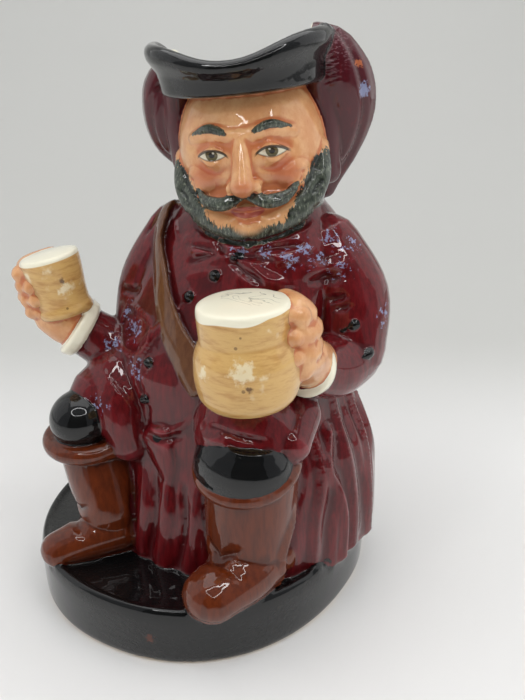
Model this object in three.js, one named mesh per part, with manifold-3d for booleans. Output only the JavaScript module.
// A seated toby jug: one slip-cast figure, hollow from the foot to the mouth in the hat.
// Millimetres, +Z up. The figure faces -Y and its left hand is at +X. It is drawn about the middle
// of its foot, and then moved so that the origin is under the middle of its overall box.

import * as THREE from "three";
import { mergeVertices } from "three/addons/utils/BufferGeometryUtils.js";
import Module from "manifold-3d";

const wasm = await Module();
wasm.setup();

const vec = (x, y, z) => new THREE.Vector3(x, y, z);
const radians = THREE.MathUtils.degToRad;

// ---------------------------------------------------------------- driving dimensions

const WALL = 5;
const BASE = { halfWidth: 64.7, front: 75.5, back: 61.5, widestY: 7, floorZ: 22.4, rimZ: 24 };
const BASE_CORNER = 2.19;
const FOOT_RING = { width: 6, depth: 1.5 };
const HEAD = { x: 15, y: 19, z: 171, yaw: 20, roll: -6 };
const SKULL = vec(27, 27, 30);
const JAW = { place: vec(0, -2, -14), size: vec(25.5, 25, 17.5) };
const JUG = { place: vec(44.5, -39, 101), height: 35, mouth: 15.2, belly: 17.6, leanX: -4, leanY: 0 };
const CUP = { place: vec(-41.5, -26, 112.5), height: 23.5, mouth: 11, foot: 9.6, leanX: -13, leanY: 4 };
const HAT = { bottom: 23, rim: 41, backRim: 28, dip: 6.5, dipWidth: 34 };

// The coat from hem to collar: z, x, y, half width, depth to the front, depth to the back.
const BODY_KEYS = [
  [20, 8, 14, 59, 55, 50],
  [40, 9, 13, 58, 52, 49],
  [60, 9, 12, 55, 46, 47],
  [78, 7, 11, 50, 43, 45],
  [95, 7, 11, 46, 42, 43],
  [110, 9, 12, 43, 37, 40],
  [124, 11, 14, 41, 32, 36],
  [136, 13, 16, 39, 28, 32],
  [146, 15, 18, 33, 24, 28],
  [156, 16, 19, 22, 18, 22],
];
const BODY_CORNER = 2.2;
const PLEATS = { count: 16, depth: 0.02, top: 0.42 };

const RIGHT_LEG = {
  hip: vec(-14, 5, 84),
  knee: vec(-30.5, -34, 75),
  kneeSize: vec(11.8, 12.8, 11),
  cuffZ: 65.5,
  cuffTilt: 5,
  cuffRoll: 3.6,
  ankle: vec(-20, -36, 38),
  shaftRadius: 14.2,
  foot: [vec(-12, -31, 29.5), vec(-21, -42, 29), vec(-32.3, -55.2, 25)],
  footRadius: [11, 10.3, 8],
  coatReach: 0.2,
  lobe: {
    points: [vec(-24, -21, 88), vec(-18, -27.5, 81), vec(-14.5, -31, 73), vec(-12, -32, 67)],
    radii: [12, 11.5, 10, 7.5],
  },
};
const LEFT_LEG = {
  hip: vec(26, 5, 84),
  knee: vec(39, -31.5, 73),
  kneeSize: vec(18.5, 15.5, 14.5),
  cuffZ: 72,
  cuffTilt: 22,
  cuffRoll: 3.2,
  ankle: vec(38.5, -31, 38),
  shaftRadius: 17,
  foot: [vec(43, -23, 31), vec(41, -38, 31), vec(36.3, -54.3, 28.5)],
  footRadius: [12, 13, 11],
  coatReach: 0.22,
  lobe: { points: [vec(50, -14, 86), vec(54, -26, 81)], radii: [9, 7] },
};

const RIGHT_SLEEVE = [vec(-13, 10, 138), vec(-21, 2, 120), vec(-21, -6, 98)];
const RIGHT_FOREARM = [vec(-20, -8, 92), vec(-30, -15, 97), vec(-37, -20, 103)];
const LEFT_SLEEVE = [vec(45, 20, 138), vec(56, 18, 122), vec(59, 12, 104)];
const LEFT_FOREARM = [vec(58, 12, 102), vec(57, 0, 101), vec(54.5, -10.5, 104)];

// ---------------------------------------------------------------- solids from three.js geometry

// A closed geometry as a manifold solid, turned inside out first if its faces point in.
function toSolid(geometry) {
  const bare = geometry.clone();
  bare.deleteAttribute("normal");
  bare.deleteAttribute("uv");
  const merged = mergeVertices(bare, 1e-4);
  const positions = new Float32Array(merged.attributes.position.array);
  const corners = merged.index.array;
  const at = (i) => vec(positions[3 * i], positions[3 * i + 1], positions[3 * i + 2]);
  const triangles = [];
  let volume = 0;
  for (let i = 0; i < corners.length; i += 3) {
    const [a, b, c] = [corners[i], corners[i + 1], corners[i + 2]];
    if (a === b || b === c || c === a) continue;
    triangles.push([a, b, c]);
    volume += at(a).dot(at(b).cross(at(c)));
  }
  const wound = triangles.flatMap(([a, b, c]) => (volume < 0 ? [a, c, b] : [a, b, c]));
  return new wasm.Manifold(
    new wasm.Mesh({ numProp: 3, vertProperties: positions, triVerts: new Uint32Array(wound) }),
  );
}

function join(solids) {
  return solids.reduce((whole, solid) => whole.add(solid));
}

function toGeometry(solid) {
  const mesh = solid.getMesh();
  const geometry = new THREE.BufferGeometry();
  geometry.setAttribute("position", new THREE.BufferAttribute(mesh.vertProperties.slice(), 3));
  geometry.setIndex(new THREE.BufferAttribute(mesh.triVerts.slice(), 1));
  geometry.computeVertexNormals();
  return geometry;
}

// A skin over rings that start and end in a point: a lathe whose rows are moved onto the rings.
// ring(row, angle) gives each place.
function skin(rows, around, ring) {
  const profile = Array.from({ length: rows }, (_, row) =>
    new THREE.Vector2(row === 0 || row === rows - 1 ? 0 : 1, row));
  const geometry = new THREE.LatheGeometry(profile, around);
  const position = geometry.attributes.position;
  for (let i = 0; i < position.count; i++) {
    const step = Math.floor(i / rows) % around;
    const place = ring(i % rows, (step / around) * 2 * Math.PI);
    position.setXYZ(i, place.x, place.y, place.z);
  }
  return geometry;
}

// A smooth curve through a table of keys, each a list of numbers, at t from 0 to 1.
function through(keys, t) {
  const last = keys.length - 1;
  const span = Math.min(Math.floor(t * last), last - 1);
  const f = t * last - span;
  const key = (i) => keys[Math.min(Math.max(i, 0), last)];
  return keys[0].map((_, n) => {
    const [p, q, r, s] = [key(span - 1)[n], key(span)[n], key(span + 1)[n], key(span + 2)[n]];
    const bend = 2 * p - 5 * q + 4 * r - s + f * (3 * (q - r) + s - p);
    return q + 0.5 * f * (r - p + f * bend);
  });
}

// One point of a rounded outline with its own front and back depth.
function outlinePoint(angle, halfWidth, front, back, corner) {
  const c = Math.cos(angle);
  const s = Math.sin(angle);
  const power = 2 / corner;
  return vec(
    halfWidth * Math.sign(c) * Math.abs(c) ** power,
    (s < 0 ? front : back) * Math.sign(s) * Math.abs(s) ** power,
    0,
  );
}

// A body built from level sections. fold(angle, t) scales the outline.
function levels(keys, { around = 36, rows = 14, fold = () => 1 } = {}) {
  const geometry = skin(rows + 2, around, (row, angle) => {
    const t = Math.min(Math.max((row - 1) / (rows - 1), 0), 1);
    const [z, x, y, halfWidth, front, back] = through(keys, t);
    if (row === 0 || row === rows + 1) return vec(x, y, z);
    const place = outlinePoint(angle, halfWidth, front, back, BODY_CORNER);
    return place.multiplyScalar(fold(angle, t)).add(vec(x, y, z));
  });
  return toSolid(geometry);
}

// A limb: rounded sections along a curve, with domed ends. flat squeezes it along the way that
// out(place) points, or along a frame that turns with the curve.
function limb(points, radii, { around = 10, steps = 6, flat = 1, out = null } = {}) {
  const curve = new THREE.CatmullRomCurve3(points);
  const frames = curve.computeFrenetFrames(steps);
  const domes = 2;
  const rows = steps + 1 + 2 * domes;
  const radiusKeys = radii.map((r) => [r]);
  const geometry = skin(rows, around, (row, angle) => {
    const step = Math.min(Math.max(row - domes, 0), steps);
    const centre = curve.getPoint(curve.getUtoTmapping(step / steps));
    const tangent = frames.tangents[step];
    const side = out ? vec(0, 0, 0).crossVectors(tangent, out(centre)).normalize() : frames.normals[step];
    const over = out ? vec(0, 0, 0).crossVectors(side, tangent).normalize() : frames.binormals[step];
    const beyond = row < domes ? row - domes : Math.max(row - domes - steps, 0);
    const turn = (beyond / domes) * (Math.PI / 2);
    const radius = through(radiusKeys, step / steps)[0];
    return centre
      .addScaledVector(tangent, radius * Math.sin(turn))
      .addScaledVector(side, radius * Math.cos(turn) * Math.cos(angle))
      .addScaledVector(over, radius * flat * Math.cos(turn) * Math.sin(angle));
  });
  return toSolid(geometry);
}

function ellipsoid(centre, size, around = 16) {
  const geometry = new THREE.SphereGeometry(1, around, Math.round(around * 0.6));
  geometry.rotateX(Math.PI / 2);
  geometry.scale(size.x, size.y, size.z);
  geometry.translate(centre.x, centre.y, centre.z);
  return toSolid(geometry);
}

// A turned shape from [radius, height] pairs, leaning, with its foot at a place.
function turned(profile, around, { place, leanX, leanY }) {
  const geometry = new THREE.LatheGeometry(profile.map(([r, h]) => new THREE.Vector2(r, h)), around);
  geometry.rotateX(Math.PI / 2);
  geometry.rotateX(radians(leanY));
  geometry.rotateY(radians(leanX));
  geometry.translate(place.x, place.y, place.z);
  return toSolid(geometry);
}

// A rolled edge: a ring of round section about an axis that leans forward by tilt.
function roll(centre, halfWidth, halfDepth, radius, tilt) {
  const geometry = new THREE.TorusGeometry(1, 1, 5, 14);
  const position = geometry.attributes.position;
  for (let i = 0; i < position.count; i++) {
    const angle = Math.atan2(position.getY(i), position.getX(i));
    const outward = (Math.hypot(position.getX(i), position.getY(i)) - 1) * radius;
    position.setXYZ(
      i,
      (halfWidth + outward) * Math.cos(angle),
      (halfDepth + outward) * Math.sin(angle),
      position.getZ(i) * radius,
    );
  }
  geometry.rotateX(radians(tilt));
  geometry.translate(centre.x, centre.y, centre.z);
  return toSolid(geometry);
}

// ---------------------------------------------------------------- base and coat

function base() {
  const edge = [
    [1.6, 0], [0.2, 1.4], [-0.3, 19], [0.2, 22.4], [1.3, BASE.rimZ], [2.8, 23.7], [3.8, BASE.floorZ],
  ];
  const last = edge.length + 1;
  const geometry = skin(last + 1, 36, (row, angle) => {
    const [inset, z] = edge[Math.min(Math.max(row - 1, 0), edge.length - 1)];
    if (row === 0 || row === last) return vec(0, BASE.widestY, z);
    return baseOutline(angle, inset).setZ(z);
  });
  return toSolid(geometry);
}

function baseOutline(angle, inset) {
  const place = outlinePoint(
    angle,
    BASE.halfWidth - inset,
    BASE.front - inset,
    BASE.back - inset,
    BASE_CORNER,
  );
  return place.add(vec(0, BASE.widestY, 0));
}

// The place on the coat at a height, angle degrees round from +X, lifted off by lift.
function onCoat(angle, z, lift = 0) {
  let t = 0;
  while (t < 1 && through(BODY_KEYS, t)[0] < z) t += 0.01;
  const [, x, y, halfWidth, front, back] = through(BODY_KEYS, Math.min(t, 1));
  const place = outlinePoint(radians(angle), halfWidth + lift, front + lift, back + lift, BODY_CORNER);
  return place.add(vec(x, y, z));
}

// The way out of the coat at a place near its surface.
function outOfCoat(place) {
  return vec(place.x - 10, place.y - 13, 4).normalize();
}

function coat() {
  const fold = (angle, t) => {
    const low = Math.max(0, 1 - t / PLEATS.top);
    const front = THREE.MathUtils.smoothstep(-Math.sin(angle), 0.75, 0.95);
    return 1 + PLEATS.depth * low * (1 - front) * Math.cos(PLEATS.count * angle);
  };
  return levels(BODY_KEYS, { around: 48, rows: 9, fold });
}

// Raised folds half sunk into the coat, each from one place on it to another. The list gives angle
// and height at the start, the middle and the end, the lift and the thickness there.
const COAT_FOLDS = [
  [[-66, 140], [-50, 139], [-32, 141], -1.4, [2.2, 3.4, 2.4]],
  [[-68, 137], [-54, 132], [-38, 131], -1.4, [2.2, 3.2, 2.2]],
  [[-82, 138], [-98, 139], [-110, 142], -1.2, [2, 3, 2]],
  [[-84, 134], [-98, 131], [-106, 132], -1.2, [2, 2.6, 2]],
  [[-103, 56], [-101, 42], [-100, 25], -2.4, [3.4, 4.6, 5]],
  [[-92, 58], [-91, 42], [-91, 24], -2.2, [3.4, 4.8, 5.2]],
  [[-80, 56], [-81, 42], [-81, 24], -2.4, [3.2, 4.4, 5]],
];

function coatFolds() {
  return COAT_FOLDS.map(([start, middle, end, lift, radii]) =>
    limb([start, middle, end].map(([angle, z]) => onCoat(angle, z, lift)), radii, {
      around: 6, steps: 3, flat: 0.8, out: outOfCoat,
    }));
}

// The shoulder belt, from the right shoulder down to where the jug hides it, and round the back.
const BELT_FRONT = [
  vec(-16.5, 4.5, 149.5), vec(-12.5, -5.2, 138.5), vec(-7, -12.6, 130), vec(-2.2, -18.6, 122.5),
  vec(5.5, -24.6, 112.5), vec(13.8, -28, 104.5), vec(21, -31, 97),
];
const BELT_BACK = [[-154, 149], [150, 146], [120, 132], [90, 114], [60, 100], [30, 94]];

function belt() {
  const strip = (points, steps) => limb(points, [5.2, 5.2, 5, 5, 6, 6.3, 6], {
    around: 6, steps, flat: 0.26, out: outOfCoat,
  });
  return join([strip(BELT_FRONT, 6), strip(BELT_BACK.map(([angle, z]) => onCoat(angle, z, 0.4)), 5)]);
}

const BUTTONS = [[-78, 139.5], [-85, 133], [-93, 125], [-102, 101], [-101, 87], [-95, 72]];

function buttons() {
  return BUTTONS.map(([angle, z]) => ellipsoid(onCoat(angle, z, 0.6), vec(1.9, 1.9, 1.9), 6));
}

// The pointed end of the coat front, lying between the thighs.
function coatPoint() {
  return limb([onCoat(-97, 74, -1), onCoat(-93, 64, 0), onCoat(-91, 55, 0)], [8, 5.5, 1.5], {
    around: 6, steps: 3, flat: 0.4, out: outOfCoat,
  });
}

// ---------------------------------------------------------------- legs

function leg({ hip, knee, kneeSize, cuffZ, cuffTilt, cuffRoll, ankle, shaftRadius, foot, footRadius }) {
  const middle = knee.clone().lerp(hip, 0.4).add(vec(0, 0, 4));
  const cuffCentre = knee.clone().setZ(cuffZ);
  const top = cuffCentre.clone().add(vec(0, 4, -5));
  return join([
    limb([hip, middle, knee], [20, 17, kneeSize.y - 2.5], { around: 8, steps: 2 }),
    ellipsoid(knee.clone().add(vec(0, -2.5, 0)), kneeSize, 10),
    limb([top, top.clone().lerp(ankle, 0.55), ankle], [1, 0.97, 0.9].map((k) => k * shaftRadius), {
      around: 10, steps: 3,
    }),
    roll(cuffCentre, shaftRadius, shaftRadius * 0.95, cuffRoll, cuffTilt),
    limb(foot, footRadius, { around: 10, steps: 3, flat: 0.85 }),
  ]);
}

// The coat over a thigh, with a lobe that hangs beside it.
function coatOverThigh({ hip, knee, kneeSize, coatReach, lobe }) {
  const near = knee.clone().lerp(hip, coatReach).add(vec(0, 0, kneeSize.z * 0.35));
  const far = knee.clone().lerp(hip, 0.75).add(vec(0, 0, 6));
  return join([
    limb([far, near], [22, kneeSize.x * 1.12], { steps: 2 }),
    limb(lobe.points, lobe.radii, { around: 8, steps: 3 }),
  ]);
}

// ---------------------------------------------------------------- arms, hands and what they hold

function sleeve(points, radii) {
  return limb(points, radii, { around: 8, steps: 4 });
}

// The shirt cuff: a short collar round the wrist.
function cuff(from, to, radius) {
  const way = to.clone().sub(from).normalize();
  const geometry = new THREE.CylinderGeometry(radius, radius * 0.94, 5, 14);
  geometry.applyQuaternion(new THREE.Quaternion().setFromUnitVectors(vec(0, 1, 0), way));
  geometry.translate(to.x, to.y, to.z);
  return toSolid(geometry);
}

function rightArm() {
  const wrist = RIGHT_FOREARM[2];
  const past = vec(-41, -22.5, 106);
  return join([
    sleeve(RIGHT_SLEEVE, [13, 13, 12]),
    sleeve(RIGHT_FOREARM, [12, 11, 9.5]),
    cuff(RIGHT_FOREARM[1], vec(-39.6, -21.4, 104.9), 12),
    limb([wrist, past, vec(-47, -26, 111)], [9.5, 10, 9], { steps: 3 }),
    ...grip(CUP, 4, { from: 130, to: 250, low: 3.5, high: 19.5, radius: 4.4, out: 2.2 }),
  ]);
}

function leftArm() {
  return join([
    sleeve(LEFT_SLEEVE, [13, 14, 13]),
    sleeve(LEFT_FOREARM, [13, 12, 10.5]),
    cuff(LEFT_FOREARM[1], vec(54.4, -14.6, 106.3), 10.8),
    limb([vec(55, -13, 107), vec(55.5, -21.5, 112), vec(57.5, -29, 117)], [9, 9, 8], { steps: 2 }),
    ...grip(JUG, 4, { from: 66, to: 6, low: 10.5, high: 30.5, radius: 4.6, out: 1.6 }),
  ]);
}

// Fingers stacked round a held vessel, from one angle round it to another, with the palm behind.
function grip(vessel, count, { from, to, low, high, radius, out }) {
  const widest = vessel.belly ?? vessel.mouth;
  const beside = (angle, gap, height) => {
    const a = radians(angle);
    return vec((widest + gap) * Math.cos(a), (widest + gap) * Math.sin(a), height)
      .applyAxisAngle(vec(1, 0, 0), radians(vessel.leanY))
      .applyAxisAngle(vec(0, 1, 0), radians(vessel.leanX))
      .add(vessel.place);
  };
  const palm = beside(from * 0.62 + to * 0.38, out - 2.6, (low + high) / 2);
  const palmSize = vec(radius * 2.1, radius * 2.1, (high - low) / 2 + radius);
  const fingers = Array.from({ length: count }, (_, n) => {
    const height = low + ((high - low) * n) / (count - 1);
    const reach = to + (from - to) * 0.12 * Math.abs(n - 1.5);
    const gap = out - 1.1 * Math.abs(n - 1.5);
    const stops = [
      beside(from, gap, height),
      beside((from + reach) / 2, gap, height),
      beside(reach, gap - 2, height),
    ];
    return limb(stops, [radius, radius * 1.02, radius * 0.65], { around: 6, steps: 2 });
  });
  return [ellipsoid(palm, palmSize, 8), ...fingers];
}

function jug() {
  const { height: h, mouth, belly } = JUG;
  const profile = [
    [0, 0], [belly * 0.72, 0], [belly * 0.93, h * 0.12], [belly, h * 0.32], [belly * 0.97, h * 0.48],
    [mouth * 0.97, h * 0.68], [mouth, h * 0.86], [mouth, h * 0.97], [mouth * 0.9, h], [0, h + 1],
  ];
  return turned(profile, 20, JUG);
}

function cup() {
  const { height: h, mouth, foot } = CUP;
  const profile = [
    [0, 0], [foot, 0], [foot * 1.06, h * 0.08], [foot * 1.02, h * 0.16], [mouth, h * 0.93],
    [mouth * 0.93, h], [0, h + 1],
  ];
  return turned(profile, 16, CUP);
}

// ---------------------------------------------------------------- head, hat and plumes

const headFrame = new THREE.Matrix4()
  .makeTranslation(HEAD.x, HEAD.y, HEAD.z)
  .multiply(new THREE.Matrix4().makeRotationZ(radians(HEAD.yaw)))
  .multiply(new THREE.Matrix4().makeRotationY(radians(HEAD.roll)));

function inHead(solids) {
  return join(solids).transform(headFrame.elements);
}

const both = (make) => [-1, 1].map(make);

const MOUSTACHE = [[1.5, -29, -9.8], [8, -28.6, -12], [14, -25.4, -11.4], [18.6, -21.8, -7.6]];

function face() {
  const small = { around: 6, steps: 3 };
  return [
    ellipsoid(vec(0, 0, 2), SKULL, 16),
    ellipsoid(JAW.place, JAW.size, 14),
    limb([vec(0, -26, 7), vec(0, -29, -0.5), vec(0, -31.4, -6)], [2.4, 3.2, 4.6], small),
    limb([vec(-6, -26.2, -15), vec(0, -27.8, -14.8), vec(6, -26.2, -15)], [1, 2, 1], small),
    ...both((s) => ellipsoid(vec(s * 10, -22.2, 4), vec(5, 4.4, 3.8), 8)),
    ...both((s) => ellipsoid(vec(s * 13, -19.5, -4), vec(8, 7, 7), 8)),
    ...both((s) => limb(
      [vec(s * 4.8, -26, 10.6), vec(s * 10.4, -24.7, 12.8), vec(s * 16.8, -20.2, 10.6)],
      [1.6, 2.2, 1.2],
      small,
    )),
    ...both((s) => limb(
      MOUSTACHE.map(([x, y, z]) => vec(s * x, y, z)),
      [2, 3.3, 2.4, 1],
      { around: 6, steps: 4 },
    )),
  ];
}

// The full beard under the chin, from ear to ear.
function beard() {
  const side = [[25, -6, 1, 3.2], [24, -12.5, -9, 4.4], [15.5, -20.2, -18.5, 5.6]];
  const left = side.map(([x, y, z, r]) => [-x, y, z, r]);
  const all = [...left, [0, -23.6, -23, 6.6], ...side.reverse()];
  return limb(all.map(([x, y, z]) => vec(x, y, z)), all.map((k) => k[3]), { around: 8, steps: 8 });
}

// The height of the hat's rim at an angle round it, low over the brow and lowest behind.
function rimHeight(angle) {
  const away = Math.abs(((THREE.MathUtils.radToDeg(angle) + 450) % 360) - 180);
  const fromFront = 180 - away;
  const behind = THREE.MathUtils.smoothstep(fromFront, 85, 150);
  const dip = HAT.dip * Math.exp(-((fromFront / HAT.dipWidth) ** 2));
  return HAT.rim - dip - (HAT.rim - HAT.backRim) * behind;
}

function hat() {
  const rows = [
    // rise from the bottom to the rim, half width, front, back
    [0, 27, 28, 26], [0.08, 29.3, 30.5, 28], [0.46, 30.2, 31.4, 28.8], [0.8, 33.2, 34.3, 31],
    [1, 31.2, 32.3, 29.4], [0.97, 28.6, 29.6, 26.8],
  ];
  const geometry = skin(rows.length + 2, 28, (row, angle) => {
    if (row === 0) return vec(-1, 0, HAT.bottom);
    if (row === rows.length + 1) return vec(-1, 0, HAT.bottom + 6);
    const [rise, halfWidth, front, back] = rows[row - 1];
    const z = HAT.bottom + rise * (rimHeight(angle) - HAT.bottom);
    return outlinePoint(angle, halfWidth, front, back, BODY_CORNER).add(vec(-1, 0, z));
  });
  return toSolid(geometry);
}

const RIGHT_PLUME = [vec(26, 1, 34), vec(30, 4, 30), vec(33, 9, 14), vec(29, 12, -4), vec(24, 12, -18)];
const LEFT_PLUME = [vec(-24, 3, 32), vec(-31, 6, 24), vec(-31, 9, 8), vec(-25, 10, -7)];
const BACK_PLUME = [vec(-30, 14, 22), vec(-16, 27, 14), vec(0, 31, 13), vec(16, 27, 16), vec(29, 14, 24)];

function plumes() {
  return [
    limb(RIGHT_PLUME, [8, 11.5, 11, 8, 4], { steps: 7 }),
    limb([vec(26, 0, 24), vec(27, 2, 8), vec(26, 3, -10)], [5.5, 5.2, 4.6], { around: 6, steps: 2 }),
    limb([vec(-26, 0, 22), vec(-27, 1, 8), vec(-26, 2, -8)], [5, 5, 4.2], { around: 6, steps: 2 }),
    limb(LEFT_PLUME, [6, 9, 9, 4], { steps: 5 }),
    limb(BACK_PLUME, [9, 11, 12, 11, 10], { steps: 5 }),
    // hair and plume falling over the nape
    ellipsoid(vec(0, 18, 0), vec(25, 21, 27), 14),
  ];
}

// The handle at the back, from the hat down to the coat.
function handle() {
  const points = [
    vec(8, 48, 192), vec(6, 66, 190), vec(3, 80, 174), vec(2, 82, 148), vec(3, 72, 122), vec(5, 54, 102),
  ];
  return limb(points, [7.5, 6.5, 6.2, 6, 6.2, 7.5], {
    around: 8, steps: 7, flat: 0.8, out: (place) => vec(0, place.y - 40, place.z - 148),
  });
}

// ---------------------------------------------------------------- the hollow

function hollow() {
  const inset = BODY_KEYS.slice(1).map(([z, x, y, halfWidth, front, back]) =>
    [z, x, y, halfWidth - WALL, front - WALL, back - WALL]);
  const keys = [[WALL + 1.5, 6, 12, 48, 50, 42], [20, 8, 14, 52, 49, 44], ...inset];
  const body = levels(keys, { around: 20, rows: 7 });
  const underFloor = levels(
    [[WALL + 1.5, 0, 7, 56, 66, 52], [BASE.floorZ - WALL, 0, 7, 57, 67, 53]],
    { around: 20, rows: 2 },
  );
  const skull = inHead([
    ellipsoid(vec(0, 0, 2), SKULL.clone().subScalar(WALL), 12),
    ellipsoid(JAW.place, JAW.size.clone().subScalar(WALL), 10),
    levels(
      [[10, 0, 0, 17, 17, 17], [22, 0, 0, 16, 16, 16], [33, -1, 0, 24, 25, 22], [60, -1, 0, 29, 30, 27]],
      { around: 18, rows: 5 },
    ),
  ]);
  return join([body, underFloor, skull, legHollow(RIGHT_LEG), legHollow(LEFT_LEG)]);
}

function legHollow({ hip, knee, kneeSize, cuffZ, ankle, shaftRadius, foot, footRadius }) {
  const middle = knee.clone().lerp(hip, 0.4).add(vec(0, 0, 4));
  const top = knee.clone().setZ(cuffZ - 5).add(vec(0, 4, 0));
  return join([
    limb([hip, middle, knee], [14, 12, kneeSize.z - WALL], { around: 6, steps: 1 }),
    limb([top, top.clone().lerp(ankle, 0.55), ankle], [1, 0.97, 0.9].map((k) => k * shaftRadius - WALL), {
      around: 6, steps: 1,
    }),
    limb(foot, footRadius.map((r) => r - WALL), { around: 6, steps: 1, flat: 0.8 }),
  ]);
}

// The recess inside the foot ring, under the base.
function footRecess() {
  const geometry = skin(4, 36, (row, angle) => {
    const z = row < 2 ? -1 : FOOT_RING.depth;
    if (row === 0 || row === 3) return vec(0, BASE.widestY, z);
    return baseOutline(angle, FOOT_RING.width + 1.6).setZ(z);
  });
  return toSolid(geometry);
}

// ---------------------------------------------------------------- the whole jug

function figure() {
  const outside = join([
    base(),
    coat(),
    ...coatFolds(),
    belt(),
    coatPoint(),
    leg(RIGHT_LEG),
    leg(LEFT_LEG),
    coatOverThigh(RIGHT_LEG),
    coatOverThigh(LEFT_LEG),
    ...buttons(),
    rightArm(),
    leftArm(),
    jug(),
    cup(),
    inHead([...face(), beard(), hat(), ...plumes()]),
    handle(),
  ]);
  return outside.subtract(hollow()).subtract(footRecess());
}

const glaze = new THREE.MeshStandardMaterial({ color: 0x5a1a20, roughness: 0.15, metalness: 0 });
const toby = new THREE.Mesh(toGeometry(figure()), glaze);
toby.name = "toby_jug";
const overall = new THREE.Box3().setFromObject(toby);
const middle = overall.getCenter(vec(0, 0, 0));
toby.position.set(-middle.x, -middle.y, 0);

const model = new THREE.Group();
model.add(toby);
export default model;
